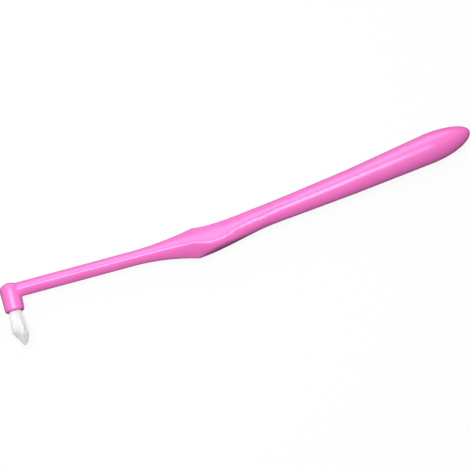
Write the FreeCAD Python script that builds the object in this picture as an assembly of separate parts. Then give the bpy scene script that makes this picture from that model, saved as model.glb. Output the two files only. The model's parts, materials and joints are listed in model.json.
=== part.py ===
# A single-tuft dental brush. One moulded handle carries a head across its end, and the head's blind
# hole holds one pointed tuft of nylon filaments, each folded in half over a flat metal anchor.
#
# It is drawn with X along the neck, away from the head, with the tuft pointing to -Y and the plane of
# symmetry at z = 0. The finished pieces are then laid on the table as the brush comes to rest: on its side,
# rolled a little about the handle, so that it stands on the belly, the knuckle and the edge of the head.
# There the origin is under the middle of the brush, with +Z up. All sizes are in millimetres.
import FreeCAD
import Part

import math
import os
from collections import namedtuple

from FreeCAD import Vector

# Head: a tapered boss with a low dome, across the end of the neck
HEAD_RADIUS = 3.5          # at the foot of the dome
HEAD_RIM_RADIUS = 3.25     # at the mouth of the tuft hole, before rounding
HEAD_DROP = 7.0            # from the neck's axis down to the mouth
DOME_PROUD = 0.45          # how far the dome stands above the neck's top edge
DOME_HEIGHT = 2.1
DOME_ROUND = 1.4           # the dome's edge, before its flatter crown
RIM_ROUND = 0.8

# Neck: a straight bar, a rounded square standing on one of its corners
NECK_LENGTH = 41.5         # from the tuft's axis to the start of the flare
NECK_HALF_HEIGHT = 2.5
NECK_HALF_WIDTH = 2.5
NECK_FILLET = 0.5          # where it joins the head
ROOT_LENGTH = 2.0          # of the short stretch that carries the fillet

# Knuckle: the widest section of the grip, where the flare ends in a corner
FLARE_LENGTH = 22.0
KNUCKLE_TOP = 4.75         # above the neck's axis
KNUCKLE_BOTTOM = -5.85
KNUCKLE_RIDGE = -1.0       # height of the two side ridges
KNUCKLE_HALF_WIDTH = 4.55

# Handle: tilted up from the neck, hollowed behind the knuckle, thin at the waist, fat near its end.
# Distances run along its axis from the knuckle, and heights are above that axis.
HANDLE_TILT = 7.7          # degrees
HANDLE_START = -1.25       # height of its axis at the knuckle, above the neck's axis
SCOOP_AT = 8.0
SCOOP_TOP = 4.6
SCOOP_BOTTOM = -5.0
SCOOP_RIDGE = -1.65
SCOOP_HALF_WIDTH = 4.2
FADE_AT = 16.0             # where the side ridges fade
FADE_SHARE = 0.6           # how far the scoop has turned into the waist there
FADE_RIDGE = -0.1
WAIST_AT = 29.0
WAIST_TOP = 3.85
WAIST_BOTTOM = -3.55
WAIST_HALF_WIDTH = 3.5
MIDDLE_AT = 56.0
MIDDLE_TOP = 3.95
MIDDLE_BOTTOM = -4.65
MIDDLE_HALF_WIDTH = 4.1
BELLY_AT = 84.0
BELLY_TOP = 4.95
BELLY_BOTTOM = -5.25
BELLY_HALF_WIDTH = 4.75
NOSE_LENGTH = 14.75
NOSE_LIFT = 0.2            # of the tip above the axis

# Finger rest: the underside behind the knuckle is cut to a slightly hollow facet, which runs out of the
# handle's underside before the waist
REST_LENGTH = 24.0
REST_HOLLOW = 0.34
REST_EXIT = 0.1            # below the waist's underside, where the cut ends

# How full a section is: a circle is at 0.55, and a square on its corner at 0
SHARP = 0.22
BLUNT = 0.34
SOFT = 0.42
ROUND = 0.5

# Tuft hole, anchor and filaments
HOLE_RADIUS = 2.1
ANCHOR_THICKNESS = 0.3
ANCHOR_HEIGHT = 1.5
ANCHOR_BITE = 0.25         # how far each end cuts into the hole's wall
ANCHOR_DEPTH = 2.2         # from the mouth to the anchor's near edge
ANCHOR_CHAMFER = 0.2
FILAMENT_DIAMETER = 0.3
FILAMENT_SIDES = 6
FILAMENT_GAP = 0.03        # between neighbours, and from the anchor and the hole's wall
TUFT_LENGTH = 12.7         # from the mouth to the point of the trimmed tip
TIP_LENGTH = 5.9
TUFT_BELLY_RADIUS = 2.8    # where the tip starts
TIP_OFFSET = 0.5           # the tip leans towards the handle

# Levels and spaces that follow from the sizes above
HEAD_RISE = NECK_HALF_HEIGHT + DOME_PROUD
KNUCKLE_AT = NECK_LENGTH + FLARE_LENGTH
FOLD_LEVEL = -HEAD_DROP + ANCHOR_DEPTH + ANCHOR_HEIGHT
HOLE_DEPTH = ANCHOR_DEPTH + ANCHOR_HEIGHT + HOLE_RADIUS
FILAMENT_PITCH = FILAMENT_DIAMETER + FILAMENT_GAP
LEG_REACH = HOLE_RADIUS - FILAMENT_GAP - FILAMENT_DIAMETER / 2

# The handle's axis and the direction across it
TILT = math.radians(HANDLE_TILT)
ALONG = Vector(math.cos(TILT), math.sin(TILT), 0)
ACROSS = Vector(-math.sin(TILT), math.cos(TILT), 0)
AXIS_START = Vector(KNUCKLE_AT, HANDLE_START, 0)
UP = Vector(0, 1, 0)

# Where the lofts have their sections, and how near two faces count as one
FLARE_SHARES = (0, 0.25, 0.5, 0.75, 1.0)
NOSE_ANGLES = range(0, 90, 15)
JOIN_TOLERANCE = 1e-4
TOUCH_TOLERANCE = 1e-3

Section = namedtuple("Section", "top bottom ridge half_width upper lower")

NECK = Section(NECK_HALF_HEIGHT, -NECK_HALF_HEIGHT, 0, NECK_HALF_WIDTH, SOFT, SOFT)
KNUCKLE = Section(KNUCKLE_TOP, KNUCKLE_BOTTOM, KNUCKLE_RIDGE, KNUCKLE_HALF_WIDTH, SHARP, SHARP)
SCOOP = Section(SCOOP_TOP, SCOOP_BOTTOM, SCOOP_RIDGE, SCOOP_HALF_WIDTH, SHARP, ROUND)
WAIST = Section(WAIST_TOP, WAIST_BOTTOM, 0, WAIST_HALF_WIDTH, BLUNT, ROUND)
MIDDLE = Section(MIDDLE_TOP, MIDDLE_BOTTOM, 0, MIDDLE_HALF_WIDTH, SOFT, ROUND)
BELLY = Section(BELLY_TOP, BELLY_BOTTOM, 0, BELLY_HALF_WIDTH, ROUND, ROUND)


def between(first, last, share):
    """The section a given share of the way from the first to the last."""
    return Section(*[a + (b - a) * share for a, b in zip(first, last)])


FADE = between(SCOOP, WAIST, FADE_SHARE)._replace(ridge=FADE_RIDGE)


def section_wire(section, origin, up, scale=1.0):
    """A section in the plane of up and Z through origin: four curves that meet level at the top and
    bottom and upright at the two side ridges."""
    def place(height, side):
        return origin + up * (height * scale) + Vector(0, 0, side * scale)

    def quarter(end, side, fullness):
        width = side * section.half_width
        curve = Part.BezierCurve()
        curve.setPoles([
            place(end, 0),
            place(end, width * fullness),
            place(section.ridge + (end - section.ridge) * fullness, width),
            place(section.ridge, width),
        ])
        return curve.toShape()

    return Part.Wire([
        quarter(section.top, 1, section.upper),
        quarter(section.bottom, 1, section.lower),
        quarter(section.bottom, -1, section.lower),
        quarter(section.top, -1, section.upper),
    ])


def neck():
    """The straight bar, from inside the head to the start of the flare."""
    places = (0, HEAD_RADIUS + ROOT_LENGTH, NECK_LENGTH)
    return Part.makeLoft([section_wire(NECK, Vector(x, 0, 0), UP) for x in places], True, True)


def flare():
    """From the neck to the knuckle, growing as the square of the distance."""
    wires = []
    for share in FLARE_SHARES:
        origin = Vector(NECK_LENGTH + FLARE_LENGTH * share, 0, 0)
        wires.append(section_wire(between(NECK, KNUCKLE, share ** 2), origin, UP))
    return Part.makeLoft(wires, True)


def handle_wire(section, distance):
    """A section at a distance along the handle's axis."""
    return section_wire(section, AXIS_START + ALONG * distance, ACROSS)


def grip():
    """From the knuckle to the waist, with the side ridges dipping beside the finger rest."""
    wires = [
        section_wire(KNUCKLE, Vector(KNUCKLE_AT, 0, 0), UP),
        handle_wire(SCOOP, SCOOP_AT),
        handle_wire(FADE, FADE_AT),
        handle_wire(WAIST, WAIST_AT),
    ]
    return Part.makeLoft(wires, True)


def shaft():
    """The long straight taper from the waist to the belly."""
    wires = [handle_wire(WAIST, WAIST_AT), handle_wire(MIDDLE, MIDDLE_AT), handle_wire(BELLY, BELLY_AT)]
    return Part.makeLoft(wires, True, True)


def nose():
    """The rounded end, shrinking from the belly to its tip as an ellipse does."""
    belly_centre = AXIS_START + ALONG * BELLY_AT
    sections = []
    for angle in NOSE_ANGLES:
        reach = math.sin(math.radians(angle))
        scale = math.cos(math.radians(angle))
        centre = belly_centre + ALONG * (NOSE_LENGTH * reach) + ACROSS * (NOSE_LIFT * (1 - scale))
        sections.append(section_wire(BELLY, centre, ACROSS, scale))
    sections.append(Part.Vertex(belly_centre + ALONG * NOSE_LENGTH + ACROSS * NOSE_LIFT))
    return Part.makeLoft(sections, True)


def finger_rest():
    """The block that cuts the underside behind the knuckle, from its lower corner to the waist."""
    start = Vector(KNUCKLE_AT, KNUCKLE_BOTTOM, 0)
    end = AXIS_START + ALONG * REST_LENGTH + ACROSS * (WAIST_BOTTOM - REST_EXIT)
    middle = (start + end) / 2 + ACROSS * REST_HOLLOW
    depth = ACROSS * (SCOOP_BOTTOM - WAIST_BOTTOM) * 2
    outline = Part.Wire([
        Part.Arc(start, middle, end).toShape(),
        Part.LineSegment(end, end + depth).toShape(),
        Part.LineSegment(end + depth, start + depth).toShape(),
        Part.LineSegment(start + depth, start).toShape(),
    ])
    block = Part.Face(outline).extrude(Vector(0, 0, 4 * KNUCKLE_HALF_WIDTH))
    block.translate(Vector(0, 0, -2 * KNUCKLE_HALF_WIDTH))
    return block


def head():
    """The boss across the neck's end: a crown, a rounded edge, a tapered side and a rounded rim, turned
    about the tuft's axis, with the seam on the side away from the neck."""
    foot = HEAD_RISE - DOME_HEIGHT
    edge_centre = Vector(HEAD_RADIUS - DOME_ROUND, foot, 0)
    crown_rise = DOME_HEIGHT - DOME_ROUND
    crown_drop = (edge_centre.x ** 2 - crown_rise ** 2) / (2 * crown_rise)
    crown_centre = Vector(0, foot - crown_drop, 0)
    outward = (edge_centre - crown_centre).normalize()
    top = Vector(0, HEAD_RISE, 0)
    crown_end = edge_centre + outward * DOME_ROUND
    crown_middle = crown_centre + (outward + UP).normalize() * (HEAD_RISE - crown_centre.y)
    shoulder = edge_centre + Vector(DOME_ROUND, 0, 0)
    edge_middle = edge_centre + (outward + Vector(1, 0, 0)).normalize() * DOME_ROUND

    rim = Vector(HEAD_RIM_RADIUS, -HEAD_DROP, 0)
    mouth = Vector(0, -HEAD_DROP, 0)
    to_shoulder = (shoulder - rim).normalize()
    to_mouth = (mouth - rim).normalize()
    half_angle = to_shoulder.getAngle(to_mouth) / 2
    inward = (to_shoulder + to_mouth).normalize()
    side_end = rim + to_shoulder * (RIM_ROUND / math.tan(half_angle))
    face_start = rim + to_mouth * (RIM_ROUND / math.tan(half_angle))
    rim_middle = rim + inward * (RIM_ROUND / math.sin(half_angle) - RIM_ROUND)

    outline = Part.Wire([
        Part.Arc(top, crown_middle, crown_end).toShape(),
        Part.Arc(crown_end, edge_middle, shoulder).toShape(),
        Part.LineSegment(shoulder, side_end).toShape(),
        Part.Arc(side_end, rim_middle, face_start).toShape(),
        Part.LineSegment(face_start, mouth).toShape(),
        Part.LineSegment(mouth, top).toShape(),
    ])
    boss = Part.Face(outline).revolve(Vector(0, 0, 0), UP, 360)
    boss.rotate(Vector(0, 0, 0), UP, 180)
    return boss


def lies_on(edge, solid):
    """Whether an edge runs along the surface of a solid."""
    skin = solid.Shells[0]
    gaps = [skin.distToShape(Part.Vertex(point))[0] for point in edge.discretize(5)]
    return max(gaps) < TOUCH_TOLERANCE


def neck_with_head():
    """The neck joined to the head, with a fillet all round the joint."""
    boss = head()
    bar = neck()
    joined = boss.fuse(bar)
    real_edges = [edge for edge in joined.Edges if not edge.Degenerated]
    joint = [edge for edge in real_edges if lies_on(edge, boss) and lies_on(edge, bar)]
    return joined.makeFillet(NECK_FILLET, joint)


def anchor_plate(near_edge):
    """A plate across the hole, from the given level to the fold, with its leading corners cut off."""
    half_length = HOLE_RADIUS + ANCHOR_BITE
    corners = [
        Vector(-half_length, near_edge, 0),
        Vector(half_length, near_edge, 0),
        Vector(half_length, FOLD_LEVEL - ANCHOR_CHAMFER, 0),
        Vector(half_length - ANCHOR_CHAMFER, FOLD_LEVEL, 0),
        Vector(-half_length + ANCHOR_CHAMFER, FOLD_LEVEL, 0),
        Vector(-half_length, FOLD_LEVEL - ANCHOR_CHAMFER, 0),
    ]
    outline = Part.Face(Part.makePolygon(corners + [corners[0]]))
    plate = outline.extrude(Vector(0, 0, ANCHOR_THICKNESS))
    plate.translate(Vector(0, 0, -ANCHOR_THICKNESS / 2))
    return plate


def handle():
    """The whole moulding, with the tuft hole and the grooves that the anchor cuts on its way in."""
    stretches = [flare(), grip().cut(finger_rest()), shaft(), nose()]
    body = neck_with_head().multiFuse(stretches, JOIN_TOLERANCE)
    hole = Part.makeCylinder(HOLE_RADIUS, HOLE_DEPTH, Vector(0, -HEAD_DROP, 0), UP)
    return body.cut(hole.fuse(anchor_plate(-HEAD_DROP)))


def free_end(x, z):
    """Where a filament that leaves the hole at x, z ends on the trimmed tip of the tuft."""
    straight = TUFT_LENGTH - TIP_LENGTH
    splay = (TUFT_BELLY_RADIUS / HOLE_RADIUS - 1) / straight
    across = Vector(x, 0, z) * (1 + splay * straight) - Vector(TIP_OFFSET, 0, 0)
    reach = TUFT_BELLY_RADIUS ** 2 - TIP_OFFSET ** 2
    lean = across.x * TIP_OFFSET
    share = (lean + math.sqrt(lean ** 2 + reach * across.Length ** 2)) / reach
    length = TUFT_LENGTH - TIP_LENGTH * share
    return Vector(x * (1 + splay * length), -HEAD_DROP - length, z * (1 + splay * length))


def mitred_rod(path, diameter, sides):
    """A rod of flat sides along straight runs, with a mitre at each bend."""
    runs = [(b - a).normalize() for a, b in zip(path, path[1:])]
    across = runs[0].cross(Vector(1, 0, 0)).normalize() * (diameter / 2)
    corners = [FreeCAD.Rotation(runs[0], 360 / sides * i).multVec(across) for i in range(sides)]
    rings = [[path[0] + corner for corner in corners]]
    for run, next_run, bend in zip(runs, runs[1:] + runs[-1:], path[1:]):
        normal = run + next_run
        rings.append([at + run * ((bend - at).dot(normal) / run.dot(normal)) for at in rings[-1]])
    outlines = [rings[0], rings[-1]]
    for near, far in zip(rings, rings[1:]):
        for i in range(sides):
            outlines.append([near[i - 1], near[i], far[i], far[i - 1]])
    faces = [Part.Face(Part.makePolygon(outline + outline[:1])) for outline in outlines]
    return Part.Solid(Part.Shell(faces))


def filament(x, z):
    """One filament, folded under the anchor, with a leg on each side of it."""
    half = [free_end(x, z), Vector(x, -HEAD_DROP, z), Vector(x, FOLD_LEVEL + z, z)]
    other_half = [Vector(point.x, point.y, -point.z) for point in reversed(half)]
    return mitred_rod(half + other_half, FILAMENT_DIAMETER, FILAMENT_SIDES)


def filament_row(x):
    """All the filaments folded under one place of the anchor, nested in each other."""
    reach = math.sqrt(LEG_REACH ** 2 - x ** 2)
    first = ANCHOR_THICKNESS / 2 + FILAMENT_GAP + FILAMENT_DIAMETER / 2
    count = int((reach - first) / FILAMENT_PITCH) + 1
    return Part.makeCompound([filament(x, first + FILAMENT_PITCH * i) for i in range(count)])


def resting_roll():
    """How far the brush rolls about its handle, in degrees, until the edge of its dome rests on the table
    beside the belly."""
    edge_side = HEAD_RADIUS - DOME_ROUND
    edge_height = ACROSS.dot(Vector(0, HEAD_RISE - DOME_HEIGHT, 0) - AXIS_START)
    reach = math.hypot(edge_side, edge_height)
    lean = math.asin((BELLY_HALF_WIDTH - DOME_ROUND) / reach)
    return math.degrees(lean - math.atan2(edge_side, edge_height))


def main():
    pieces = {"handle": handle(), "anchor": anchor_plate(FOLD_LEVEL - ANCHOR_HEIGHT)}
    rows_each_side = int(LEG_REACH / FILAMENT_PITCH)
    for i in range(2 * rows_each_side + 1):
        pieces["filament_row_%02d" % (i + 1)] = filament_row((i - rows_each_side) * FILAMENT_PITCH)
    for piece in pieces.values():
        piece.rotate(AXIS_START, ALONG, -resting_roll())
    box = Part.makeCompound(list(pieces.values())).optimalBoundingBox(False, False)
    to_table = Vector(-(box.XMin + box.XMax) / 2, -(box.YMin + box.YMax) / 2, -box.ZMin)
    os.makedirs("parts", exist_ok=True)
    for name, piece in pieces.items():
        piece.translate(to_table)
        piece.exportStep("parts/%s.step" % name)
        print(name, len(piece.Solids), piece.isValid(), round(piece.Volume, 2))
    print("size", round(box.XLength, 2), round(box.YLength, 2), round(box.ZLength, 2), "moved by", to_table)


main()
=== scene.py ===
# %% [markdown]
# A single-tuft brush lies on its side on a white table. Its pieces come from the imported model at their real
# size. The metal anchor only gets a finish here. The pink moulding is copied, so that it can be shaded more
# smoothly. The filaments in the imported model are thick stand-ins, so this file also grows the fine tuft
# that takes their place.

import json
import math
import random

import bmesh
import bpy
from mathutils import Matrix, Vector
from mathutils.bvhtree import BVHTree


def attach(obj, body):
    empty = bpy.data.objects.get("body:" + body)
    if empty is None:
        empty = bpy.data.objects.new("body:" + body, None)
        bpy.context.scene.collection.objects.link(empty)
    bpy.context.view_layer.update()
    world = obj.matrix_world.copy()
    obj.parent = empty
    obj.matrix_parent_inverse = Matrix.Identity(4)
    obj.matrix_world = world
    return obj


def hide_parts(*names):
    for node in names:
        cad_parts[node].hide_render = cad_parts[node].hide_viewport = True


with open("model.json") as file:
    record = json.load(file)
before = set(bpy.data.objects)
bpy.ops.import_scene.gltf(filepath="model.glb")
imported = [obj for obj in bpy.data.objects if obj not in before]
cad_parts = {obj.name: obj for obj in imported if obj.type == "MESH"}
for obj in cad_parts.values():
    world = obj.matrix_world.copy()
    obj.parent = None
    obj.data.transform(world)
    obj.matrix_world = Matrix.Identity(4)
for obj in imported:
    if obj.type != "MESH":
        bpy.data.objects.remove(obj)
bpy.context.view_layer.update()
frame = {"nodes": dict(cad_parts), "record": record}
scene = bpy.context.scene
MM = 0.001
print("nodes:", sorted(frame["nodes"]))

# %% [markdown]
# The brush lies as it comes to rest, rolled a little about its handle, so nothing on it lines up with the
# world's axes. Two places on it have known directions, the mouth of the tuft hole and the axis of the
# handle, and two cross products turn those into the brush's own three directions.

# %% The brush's own directions
mounts = {mount["name"]: mount for mount in frame["record"]["mounts"]}
mouth = Vector(mounts["head_cap"]["pos_m"])
down_tuft = Vector(mounts["head_cap"]["axis"]).normalized()
along_handle = Vector(mounts["waist_clip"]["axis"]).normalized()
across_brush = along_handle.cross(-down_tuft).normalized()
along_neck = across_brush.cross(down_tuft)
print("along the neck", along_neck, "down the tuft", down_tuft)

# %% [markdown]
# The photograph looks down on the brush, 13 degrees away from square to its plane of symmetry, and the neck
# climbs to the right in it. Its outline shows no perspective, so a long lens at some distance suits it. The
# camera is aimed with a matrix of three directions, which is easier to reason about here than three angles:
# the direction back to the camera, then right and up in the image, turned by the slope of the neck.

# %% Camera
IMAGE_WIDTH = 470
PIXELS_PER_METRE = 3013
VIEW_ELEVATION = math.radians(77)
NECK_SLOPE_IN_IMAGE = math.radians(15.15)
LENS_LENGTH = 200
SENSOR_WIDTH = 36
MOUTH_BELOW_NECK = 7.0 * MM
HEAD_TO_IMAGE_CENTRE = 76.93 * MM
NECK_TO_IMAGE_CENTRE = 1.32 * MM

above_mouth = MOUTH_BELOW_NECK - NECK_TO_IMAGE_CENTRE
target = mouth + along_neck * HEAD_TO_IMAGE_CENTRE - down_tuft * above_mouth
back = down_tuft * math.cos(VIEW_ELEVATION) + across_brush * math.sin(VIEW_ELEVATION)
neck_up = back.cross(along_neck)
right = along_neck * math.cos(NECK_SLOPE_IN_IMAGE) - neck_up * math.sin(NECK_SLOPE_IN_IMAGE)
up = along_neck * math.sin(NECK_SLOPE_IN_IMAGE) + neck_up * math.cos(NECK_SLOPE_IN_IMAGE)
distance = IMAGE_WIDTH / PIXELS_PER_METRE * LENS_LENGTH / SENSOR_WIDTH

camera_data = bpy.data.cameras.new("camera")
camera_data.lens = LENS_LENGTH
camera_data.sensor_width = SENSOR_WIDTH
camera_data.clip_start = 0.01
camera_data.clip_end = 20
camera = bpy.data.objects.new("camera", camera_data)
turn = Matrix((right, up, back)).transposed()
camera.matrix_world = Matrix.Translation(target + back * distance) @ turn.to_4x4()
scene.collection.objects.link(camera)
scene.camera = camera
print("camera distance", round(distance, 3))

# %% [markdown]
# The brush is photographed on pure white. More light would wash the pink out, so the floor glows by itself,
# but only for rays that come straight from the camera. Every other ray finds a dark floor, because a white
# one would show as a pale band in the glossy plastic. A share of the floor stays a real lit surface, so the
# brush still casts a faint shadow.

# %% White floor
GLOW_SHARE_OF_FLOOR = 0.9
FLOOR_IN_VIEW = 0.8
FLOOR_FOR_BOUNCES = 0.14
FLOOR_SIZE = 3


def calculate(tree, operation, first, second):
    """A Math node with two inputs, each a socket or a number."""
    node = tree.nodes.new("ShaderNodeMath")
    node.operation = operation
    for value, socket in zip((first, second), node.inputs):
        if isinstance(value, (int, float)):
            socket.default_value = value
        else:
            tree.links.new(value, socket)
    return node.outputs[0]


def new_material(name):
    """A new material, with its node tree and the shader in it."""
    material = bpy.data.materials.new(name)
    material.use_nodes = True
    return material, material.node_tree, material.node_tree.nodes["Principled BSDF"]


def camera_ray(tree):
    """A value of 1 for rays that come straight from the camera, and 0 for all others."""
    return tree.nodes.new("ShaderNodeLightPath").outputs["Is Camera Ray"]


def mix_shaders(tree, share, first, second):
    """Blend two shaders and send the result to the tree's output."""
    mix = tree.nodes.new("ShaderNodeMixShader")
    tree.links.new(share, mix.inputs["Fac"])
    tree.links.new(first.outputs[0], mix.inputs[1])
    tree.links.new(second.outputs[0], mix.inputs[2])
    output = [node for node in tree.nodes if node.type.startswith("OUTPUT")][0]
    tree.links.new(mix.outputs[0], output.inputs["Surface"])


floor_mesh = bpy.data.meshes.new("floor")
floor_bm = bmesh.new()
bmesh.ops.create_grid(floor_bm, x_segments=1, y_segments=1, size=FLOOR_SIZE)
floor_bm.to_mesh(floor_mesh)
floor_bm.free()
floor = bpy.data.objects.new("floor", floor_mesh)
scene.collection.objects.link(floor)

white_floor, tree, lit = new_material("white_floor")
seen = camera_ray(tree)
extra_in_view = calculate(tree, "MULTIPLY", seen, FLOOR_IN_VIEW - FLOOR_FOR_BOUNCES)
tree.links.new(calculate(tree, "ADD", FLOOR_FOR_BOUNCES, extra_in_view), lit.inputs["Base Color"])
lit.inputs["Roughness"].default_value = 1
glow = tree.nodes.new("ShaderNodeEmission")
mix_shaders(tree, calculate(tree, "MULTIPLY", seen, GLOW_SHARE_OF_FLOOR), lit, glow)
floor_mesh.materials.append(white_floor)
print("floor glow", GLOW_SHARE_OF_FLOOR)

# %% [markdown]
# The sky is the light that comes from all around. It is brighter on the far side than on the viewer's side,
# so the sides of the brush that are turned to the viewer fall off into a deeper pink, as they do in the
# photograph. The camera itself sees plain white.

# %% White sky
SKY_NEAR_VIEWER = 0.1
SKY_FAR_SIDE = 0.6

world = bpy.data.worlds.new("studio")
world.use_nodes = True
tree = world.node_tree
sky = tree.nodes["Background"]
sky.inputs["Color"].default_value = (1, 1, 1, 1)
direction = tree.nodes.new("ShaderNodeTexCoord")
split = tree.nodes.new("ShaderNodeSeparateXYZ")
fade = tree.nodes.new("ShaderNodeMapRange")
fade.inputs["From Min"].default_value = -1
fade.inputs["To Min"].default_value = SKY_NEAR_VIEWER
fade.inputs["To Max"].default_value = SKY_FAR_SIDE
tree.links.new(direction.outputs["Generated"], split.inputs[0])
tree.links.new(split.outputs["Y"], fade.inputs["Value"])
tree.links.new(fade.outputs["Result"], sky.inputs["Strength"])
white = tree.nodes.new("ShaderNodeBackground")
white.inputs["Color"].default_value = (1, 1, 1, 1)
mix_shaders(tree, camera_ray(tree), sky, white)
scene.world = world
scene.view_settings.view_transform = "Standard"
print("sky from", SKY_NEAR_VIEWER, "to", SKY_FAR_SIDE)

# %% [markdown]
# The ridges of the moulding carry one thin bright line, and the boss one broad stripe near its middle. Both
# are mirror images of a softbox, and where they lie says where it hung: close over the brush, longer along
# it than across it. Its width sets how broad the lines are. A second, larger softbox on the far side keeps
# the upper facets as bright as the top.

# %% Softboxes


def softbox(name, place, length, width, glow):
    """A rectangular lamp that looks at the origin, its length along X, equally bright at any size."""
    data = bpy.data.lights.new(name, "AREA")
    data.shape = "RECTANGLE"
    data.size = length
    data.size_y = width
    data.energy = glow * math.pi * length * width
    lamp = bpy.data.objects.new(name, data)
    away = Vector(place).normalized()
    across = away.cross((1, 0, 0)).normalized()
    turn = Matrix((across.cross(away), across, away)).transposed()
    lamp.matrix_world = Matrix.Translation(place) @ turn.to_4x4()
    lamp.visible_camera = False
    scene.collection.objects.link(lamp)
    print(name, "power", round(data.energy, 2))


softbox("overhead_softbox", place=(-0.06, 0.022, 0.35), length=0.3, width=0.18, glow=7.2)
softbox("far_side_softbox", place=(0, 1.14, 0.36), length=1.0, width=1.0, glow=1.8)

# %% [markdown]
# No moulded or drawn surface is perfectly even. One small node group makes that unevenness for every
# material here: a broad, slow wash and a fine grain, both from noise on Object coordinates. Each material
# places the group with its own scales and uses it for its colour, its roughness or a very shallow bump.

# %% Unevenness shared by the materials
NOISE_DETAIL = {"Broad": 2, "Fine": 4}
NOISE_LOW = 0.3
NOISE_HIGH = 0.7
GRAIN_DEPTH = 0.01 * MM


def make_unevenness():
    """A node group that puts out a broad and a fine noise, each from 0 to 1."""
    group = bpy.data.node_groups.new("unevenness", "ShaderNodeTree")
    group.interface.new_socket("Broad Scale", in_out="INPUT", socket_type="NodeSocketFloat")
    group.interface.new_socket("Fine Scale", in_out="INPUT", socket_type="NodeSocketFloat")
    group.interface.new_socket("Broad", in_out="OUTPUT", socket_type="NodeSocketFloat")
    group.interface.new_socket("Fine", in_out="OUTPUT", socket_type="NodeSocketFloat")
    inside = group.nodes.new("NodeGroupInput")
    outside = group.nodes.new("NodeGroupOutput")
    place = group.nodes.new("ShaderNodeTexCoord")
    for kind, detail in NOISE_DETAIL.items():
        noise = group.nodes.new("ShaderNodeTexNoise")
        noise.inputs["Detail"].default_value = detail
        group.links.new(place.outputs["Object"], noise.inputs["Vector"])
        group.links.new(inside.outputs[kind + " Scale"], noise.inputs["Scale"])
        group.links.new(noise.outputs["Fac"], outside.inputs[kind])
    return group


unevenness = make_unevenness()


def add_unevenness(tree, broad_scale, fine_scale):
    """Place the group in a material and return its node."""
    node = tree.nodes.new("ShaderNodeGroup")
    node.node_tree = unevenness
    node.inputs["Broad Scale"].default_value = broad_scale
    node.inputs["Fine Scale"].default_value = fine_scale
    return node


def map_value(tree, value, low, high):
    """Stretch the part of the noise that occurs most over the range from low to high."""
    stretch = tree.nodes.new("ShaderNodeMapRange")
    stretch.inputs["From Min"].default_value = NOISE_LOW
    stretch.inputs["From Max"].default_value = NOISE_HIGH
    stretch.inputs["To Min"].default_value = low
    stretch.inputs["To Max"].default_value = high
    tree.links.new(value, stretch.inputs["Value"])
    return stretch.outputs["Result"]


def map_colour(tree, value, low, high):
    """Blend two colours by a value that is stretched in the same way."""
    blend = tree.nodes.new("ShaderNodeMix")
    blend.data_type = "RGBA"
    colour_inputs = [socket for socket in blend.inputs if socket.type == "RGBA"]
    colour_inputs[0].default_value = (*low, 1)
    colour_inputs[1].default_value = (*high, 1)
    tree.links.new(map_value(tree, value, 0, 1), blend.inputs["Factor"])
    return [socket for socket in blend.outputs if socket.type == "RGBA"][0]


def add_bump(tree, height, strength):
    """A bump as shallow as grain, wired to the material's shader."""
    bump = tree.nodes.new("ShaderNodeBump")
    bump.inputs["Strength"].default_value = strength
    bump.inputs["Distance"].default_value = GRAIN_DEPTH
    tree.links.new(height, bump.inputs["Height"])
    tree.links.new(bump.outputs["Normal"], tree.nodes["Principled BSDF"].inputs["Normal"])


print("shared group:", unevenness.name)

# %% [markdown]
# The handle is one glossy injection moulding in a bright pink. Light does travel a little way into such
# plastic, but scattering under the surface would blur the thin bright lines on the ridges and leave coloured
# grain on the neck, so the pigment is taken as opaque here. Its colour drifts slightly, and the roughness
# and a very shallow bump vary a little, like the polish of a steel mould.

# %% Pink moulded plastic
PINK = (0.89, 0.18, 0.565)
PINK_DEEPER = (0.87, 0.162, 0.54)
PINK_ROUGHNESS = (0.2, 0.25)
PINK_IOR = 1.57


def make_pink_plastic():
    material, tree, shader = new_material("pink_moulded_plastic")
    uneven = add_unevenness(tree, broad_scale=60, fine_scale=900)
    colour = map_colour(tree, uneven.outputs["Broad"], PINK_DEEPER, PINK)
    tree.links.new(colour, shader.inputs["Base Color"])
    tree.links.new(map_value(tree, uneven.outputs["Fine"], *PINK_ROUGHNESS), shader.inputs["Roughness"])
    add_bump(tree, uneven.outputs["Fine"], strength=0.1)
    shader.inputs["IOR"].default_value = PINK_IOR
    return material


pink_plastic = make_pink_plastic()
print(pink_plastic.name, "shader nodes:", len(pink_plastic.node_tree.nodes))

# %% [markdown]
# The handle is moulded in one shot, so its surface is one unbroken skin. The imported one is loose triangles,
# face by face, and its shading breaks along every ridge, just where the bright lines belong. The first step
# towards a smoother copy joins the faces: corners that lie in the same place become one.

# %% The moulding, its faces joined
MERGE_DISTANCE = 0.002 * MM

moulding_bm = bmesh.new()
moulding_bm.from_mesh(frame["nodes"]["handle"].data)
loose_corners = len(moulding_bm.verts)
bmesh.ops.remove_doubles(moulding_bm, verts=moulding_bm.verts, dist=MERGE_DISTANCE)
open_edges = sum(edge.is_boundary for edge in moulding_bm.edges)
print("corners:", loose_corners, "merged to", len(moulding_bm.verts), "open edges:", open_edges)

# %% [markdown]
# The waist is where the grip behind the knuckle turns into the shaft. A mould could be milled there with a
# round tool, which leaves no corner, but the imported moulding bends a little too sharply, and the ridges on
# its sides climb into the shaft too early. So rings of corners are cut around the waist, the bend is
# rounded off, and the side ridges are lowered in front of it. The bright line then runs on evenly. The
# outline in the photograph hardly changes, because no corner on it is lowered.

# %% The waist, rounded off
WAIST_REACH = 13 * MM
WAIST_RINGS = 13
WAIST_WINDOW = 6 * MM
WAIST_WINDOW_STEPS = 6
RIDGE_DROP = 0.9 * MM
RIDGE_DROP_CENTRE = -6.5 * MM
RIDGE_DROP_REACH = 9 * MM

waist = Vector(mounts["waist_clip"]["pos_m"])
handle_up = across_brush.cross(along_handle)


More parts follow.
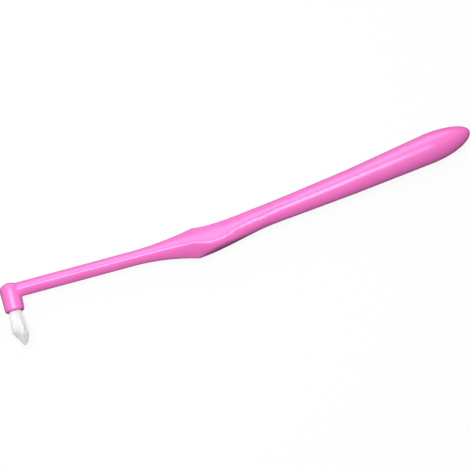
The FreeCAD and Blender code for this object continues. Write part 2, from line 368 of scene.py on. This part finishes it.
def cut_rings(bm):
    """Cut rings of corners around the waist, so that the surface can bend there."""
    for step in range(1 - WAIST_RINGS, WAIST_RINGS):
        geom = bm.verts[:] + bm.edges[:] + bm.faces[:]
        ring_at = waist + along_handle * (WAIST_REACH * step / WAIST_RINGS)
        bmesh.ops.bisect_plane(bm, geom=geom, plane_co=ring_at, plane_no=along_handle)


def mean_radius(surface, on_axis, outward):
    """How far the surface is from the axis in one direction, averaged over a stretch of the handle."""
    radii = []
    for step in range(-WAIST_WINDOW_STEPS, WAIST_WINDOW_STEPS + 1):
        share = step / WAIST_WINDOW_STEPS
        start = on_axis + along_handle * (WAIST_WINDOW * share)
        radii.append(surface.ray_cast(start, outward)[3])
    return sum(radii) / len(radii)


def ridge_drop(surface, on_axis, along, height):
    """How far a corner is lowered: most at the side ridges, and not at all on the outline."""
    half_height = surface.ray_cast(on_axis, handle_up if height > 0 else -handle_up)[3]
    drop = RIDGE_DROP * max(1 - ((along - RIDGE_DROP_CENTRE) / RIDGE_DROP_REACH) ** 2, 0) ** 2
    return drop * max(1 - (height / half_height) ** 2, 0)


def soften_waist(bm):
    """Move each corner out or in to the mean radius around it, most at the waist and not at all at the ends
    of the softened length, and lower the side ridges."""
    surface = BVHTree.FromBMesh(bm)
    cut_rings(bm)
    largest = 0
    for vert in bm.verts:
        along = (vert.co - waist).dot(along_handle)
        if abs(along) >= WAIST_REACH:
            continue
        on_axis = waist + along_handle * along
        outward = (vert.co - on_axis).normalized()
        taper = (1 - (along / WAIST_REACH) ** 2) ** 2
        move = (mean_radius(surface, on_axis, outward) - (vert.co - on_axis).length) * taper
        vert.co += outward * move
        height = (vert.co - on_axis).dot(handle_up)
        vert.co -= handle_up * ridge_drop(surface, on_axis, along, height)
        largest = max(largest, abs(move))
    print("largest move out or in at the waist", round(largest / MM, 3), "mm")


soften_waist(moulding_bm)

# %% [markdown]
# Now that the faces share their corners, smooth shading runs across the soft ridges. Edges that are really
# sharp, such as those of the grooves in the tuft hole, are marked, so that they stay crisp. The copy then
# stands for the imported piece.

# %% The moulding, shaded across its ridges
SHARP_ANGLE = math.radians(30)

moulding_mesh = bpy.data.meshes.new("moulding")
moulding_bm.to_mesh(moulding_mesh)
moulding_bm.free()
moulding_mesh.shade_smooth()
moulding_mesh.set_sharp_from_angle(angle=SHARP_ANGLE)
moulding_mesh.materials.append(pink_plastic)
moulding = bpy.data.objects.new("moulding", moulding_mesh)
scene.collection.objects.link(moulding)
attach(moulding, "root")
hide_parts("handle")
print("moulding faces:", len(moulding_mesh.polygons))

# %% [markdown]
# The anchor is a small plate cut from rolled brass strip. It sits deep in the hole and hardly shows, but a
# finish costs little: its colour drifts between bright and dull, and its roughness varies with a fine
# grain, as on plain strip that was never polished.

# %% Rolled brass
BRASS = (0.70, 0.50, 0.20)
BRASS_DULL = (0.52, 0.36, 0.15)
BRASS_ROUGHNESS = (0.25, 0.45)


def make_rolled_brass():
    material, tree, shader = new_material("rolled_brass")
    uneven = add_unevenness(tree, broad_scale=900, fine_scale=9000)
    colour = map_colour(tree, uneven.outputs["Broad"], BRASS_DULL, BRASS)
    tree.links.new(colour, shader.inputs["Base Color"])
    tree.links.new(map_value(tree, uneven.outputs["Fine"], *BRASS_ROUGHNESS), shader.inputs["Roughness"])
    add_bump(tree, uneven.outputs["Fine"], strength=0.3)
    shader.inputs["Metallic"].default_value = 1
    return material


rolled_brass = make_rolled_brass()
for material_slot in frame["nodes"]["anchor"].material_slots:
    material_slot.material = rolled_brass
print(rolled_brass.name, "shader nodes:", len(rolled_brass.node_tree.nodes))

# %% [markdown]
# Nylon filament is drawn, so it is smooth, and a bundle of it looks milky white. Each filament carries a
# shade of its own, which the material reads as an attribute: no two have quite the same grey. Near the cut
# ends a painted shade darkens them, so the tip of the tuft looks greyer, as if in shade.

# %% Nylon
NYLON = (0.97, 0.97, 0.97)
# The darker end of the blend serves both the random greys and the painted shade at the cut ends.
NYLON_DARKER_TONE_AND_TIP_SHADE = (0.68, 0.68, 0.68)
NYLON_ROUGHNESS = (0.3, 0.45)


def make_nylon():
    material, tree, shader = new_material("drawn_nylon")
    shade = tree.nodes.new("ShaderNodeAttribute")
    shade.attribute_name = "filament_shade"
    colour = map_colour(tree, shade.outputs["Fac"], NYLON_DARKER_TONE_AND_TIP_SHADE, NYLON)
    uneven = add_unevenness(tree, broad_scale=500, fine_scale=6000)
    tree.links.new(colour, shader.inputs["Base Color"])
    tree.links.new(map_value(tree, uneven.outputs["Broad"], *NYLON_ROUGHNESS), shader.inputs["Roughness"])
    add_bump(tree, uneven.outputs["Fine"], strength=0.2)
    return material


nylon = make_nylon()
print(nylon.name, "shader nodes:", len(nylon.node_tree.nodes))

# %% [markdown]
# Every filament is a hairpin: two legs and a bend over the anchor. They are all the same rod, so one short
# rod is made first, from a circle that is pulled out ring by ring. Each ring is one unit above the last,
# which later tells which place of the hairpin it goes to.

# %% One filament, still straight
FILAMENT_RADIUS = 0.08 * MM
FILAMENT_SIDES = 4
LEG_SHARES = (1, 0.98, 0.55, 0.25, 0)
BEND_ANGLES = (0, 90, 180)
CUT_END_SCALE = 0.6

ring_count = 2 * len(LEG_SHARES) + len(BEND_ANGLES)


def place_on_rod(face):
    """A number that grows up the rod and around it, because pulling out leaves the faces in any order."""
    centre = face.calc_center_median()
    return centre.z * 4 * math.pi + math.atan2(centre.y, centre.x)


def straight_rod():
    """A closed rod with one ring at each unit of height, and slightly rounded ends."""
    rod = bmesh.new()
    bmesh.ops.create_circle(rod, cap_ends=True, radius=FILAMENT_RADIUS, segments=FILAMENT_SIDES)
    ring = list(rod.edges)
    for level in range(ring_count - 1):
        pulled = bmesh.ops.extrude_edge_only(rod, edges=ring)["geom"]
        ring = [part for part in pulled if isinstance(part, bmesh.types.BMEdge)]
        corners = [part for part in pulled if isinstance(part, bmesh.types.BMVert)]
        bmesh.ops.translate(rod, verts=corners, vec=(0, 0, 1))
    ring = [edge for edge in ring if all(vert in corners for vert in edge.verts)]
    bmesh.ops.contextual_create(rod, geom=ring)
    for level in (0, ring_count - 1):
        ends = [vert for vert in rod.verts if round(vert.co.z) == level]
        bmesh.ops.scale(rod, vec=(CUT_END_SCALE, CUT_END_SCALE, 1), verts=ends)
    bmesh.ops.recalc_face_normals(rod, faces=rod.faces)
    rod.faces.sort(key=place_on_rod)
    mesh = bpy.data.meshes.new("straight_rod")
    rod.to_mesh(mesh)
    rod.free()
    return mesh


rod_mesh = straight_rod()
print("one filament:", len(rod_mesh.polygons), "faces")

# %% [markdown]
# The tuft is trimmed after it is set. The side towards the handle is rounded like a bullet, the other side
# is cut straight and slanted, and the point leans towards the handle. So each filament ends where it meets
# that trimmed form, which is worked out from how far it stands from the point, compared with the tuft's
# widest circle in the same direction.

# %% The trimmed form of the tuft
HOLE_RADIUS = 2.1 * MM
BELLY_RADIUS = 2.8 * MM
BELLY_DEPTH = 6.6 * MM
TUFT_LENGTH = 11.9 * MM
POINT_OFFSET = 0.45 * MM
ROUND_SIDE = 1.75
SLANTED_SIDE = 1.0


def splay(depth):
    """How much wider the tuft is at a depth below the mouth than in the hole."""
    share = min(max(depth / BELLY_DEPTH, 0), 1)
    return 1 + (BELLY_RADIUS / HOLE_RADIUS - 1) * math.sin(share * math.pi / 2)


def trimmed_length(x, z):
    """How far below the mouth a filament ends, from its place in the hole."""
    full = BELLY_RADIUS / HOLE_RADIUS
    across = Vector((x * full - POINT_OFFSET, z * full))
    reach = BELLY_RADIUS ** 2 - POINT_OFFSET ** 2
    lean = across.x * POINT_OFFSET
    share = min((lean + math.sqrt(lean ** 2 + reach * across.length_squared)) / reach, 1)
    towards_handle = (1 + across.x / max(across.length, 1e-9)) / 2
    power = SLANTED_SIDE + (ROUND_SIDE - SLANTED_SIDE) * towards_handle
    return BELLY_DEPTH + (TUFT_LENGTH - BELLY_DEPTH) * (1 - share ** power) ** (1 / power)


print("trimmed length in the middle of the hole", round(trimmed_length(0, 0) / MM, 2), "mm")

# %% [markdown]
# In a real tuft every filament is folded in half over the anchor, which is then pressed into the hole. Here
# too, each hairpin runs from one cut end up into the hole, over the anchor and back down to the other cut
# end. The anchor holds the two halves of the tuft apart, and below it they close up, so no slit shows.
# Small random leans and lengths keep the tuft from looking machined.

# %% The way of one hairpin
ANCHOR_CLEARANCE = 0.27 * MM
FOLD_DEPTH = 3.7 * MM
CLOSING_DEPTH = 3 * MM
LEAN = 0.06 * MM
LENGTH_SPREAD = 0.3 * MM
CHANCE_SEED = 11

chance = random.Random(CHANCE_SEED)


def closed_up(z):
    """Where a filament stands once the two halves of the tuft have closed up below the anchor."""
    share = (abs(z) - ANCHOR_CLEARANCE) / (HOLE_RADIUS - ANCHOR_CLEARANCE)
    return math.copysign(share * HOLE_RADIUS, z)


def leg_rings(x, z):
    """The middles of a leg's rings, from its cut end up to the fold, with a random lean."""
    free_z = closed_up(z)
    length = trimmed_length(x, free_z) + chance.uniform(-LENGTH_SPREAD, 0)
    lean_x = chance.gauss(0, LEAN)
    lean_z = chance.gauss(0, LEAN)
    rings = []
    for share in LEG_SHARES:
        depth = length * share
        wide = splay(depth)
        side = z + (free_z - z) * min(depth / CLOSING_DEPTH, 1)
        rings.append((x * wide + lean_x * share ** 2, depth, side * wide + lean_z * share ** 2))
    return rings


def hairpin_rings(x, z):
    """The middles of all rings of one hairpin, in the tuft's own directions."""
    bend = []
    for angle in BEND_ANGLES:
        turn = math.radians(angle)
        bend.append((x, -FOLD_DEPTH - z * math.sin(turn), z * math.cos(turn)))
    return leg_rings(x, z) + bend + list(reversed(leg_rings(x, -z)))


print("the halves stand", round(2 * ANCHOR_CLEARANCE / MM, 2), "mm apart at the anchor")

# %% [markdown]
# The filaments stand in the hole like seeds in a sunflower head, which is an even packing for any number:
# each place is one golden angle further round, and its distance from the middle grows with the square root
# of its number. Only places on one side of the anchor get a hairpin, because its other leg comes down at
# the mirrored place on the other side.

# %% The fine tuft
PLACES_IN_HOLE = 620
WALL_CLEARANCE = 1.6 * FILAMENT_RADIUS
ROOT_RADIUS = HOLE_RADIUS - WALL_CLEARANCE
GOLDEN_ANGLE = math.pi * (3 - math.sqrt(5))
SHADE_RANGE = (0.61, 0.74)
# Painted shade: the rings nearest each cut end are darkened by this much, so the tip of the tuft looks
# shaded.
CUT_END_PAINTED_SHADE = 0.07
CUT_END_RINGS = 2


def add_hairpin(bm, shade_layer, rings):
    """Bend one straight rod along the middles of its rings."""
    middles = [mouth + along_neck * x + down_tuft * depth + across_brush * z for x, depth, z in rings]
    before = len(bm.verts)
    bm.from_mesh(rod_mesh)
    bm.verts.ensure_lookup_table()
    shade = chance.uniform(*SHADE_RANGE)
    for vert in bm.verts[before:]:
        level = round(vert.co.z)
        ahead = middles[min(level + 1, ring_count - 1)] - middles[max(level - 1, 0)]
        side = (along_neck - ahead * (along_neck.dot(ahead) / ahead.length_squared)).normalized()
        out = ahead.cross(side).normalized()
        vert.co = middles[level] + side * vert.co.x + out * vert.co.y
        # Painted shade at the cut ends: their rings get a darker value, so the tuft's tip looks as if in
        # shade.
        at_cut_end = level < CUT_END_RINGS or level >= ring_count - CUT_END_RINGS
        vert[shade_layer] = shade - CUT_END_PAINTED_SHADE * at_cut_end


def make_tuft():
    """All hairpins as one mesh, with a shade on every corner."""
    bm = bmesh.new()
    shade_layer = bm.verts.layers.float.new("filament_shade")
    hairpins = 0
    for number in range(PLACES_IN_HOLE):
        distance_out = ROOT_RADIUS * math.sqrt((number + 0.5) / PLACES_IN_HOLE)
        x = distance_out * math.cos(number * GOLDEN_ANGLE)
        z = distance_out * math.sin(number * GOLDEN_ANGLE)
        if z > ANCHOR_CLEARANCE:
            add_hairpin(bm, shade_layer, hairpin_rings(x, z))
            hairpins += 1
    bmesh.ops.recalc_face_normals(bm, faces=bm.faces)
    mesh = bpy.data.meshes.new("tuft")
    bm.to_mesh(mesh)
    bm.free()
    mesh.shade_smooth()
    mesh.materials.append(nylon)
    piece = bpy.data.objects.new("tuft", mesh)
    scene.collection.objects.link(piece)
    print("hairpins:", hairpins, "faces:", len(mesh.polygons))
    return piece


tuft = make_tuft()
filament_rows = [name for name in frame["nodes"] if name.startswith("filament_row")]
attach(tuft, "root")
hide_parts(*filament_rows)
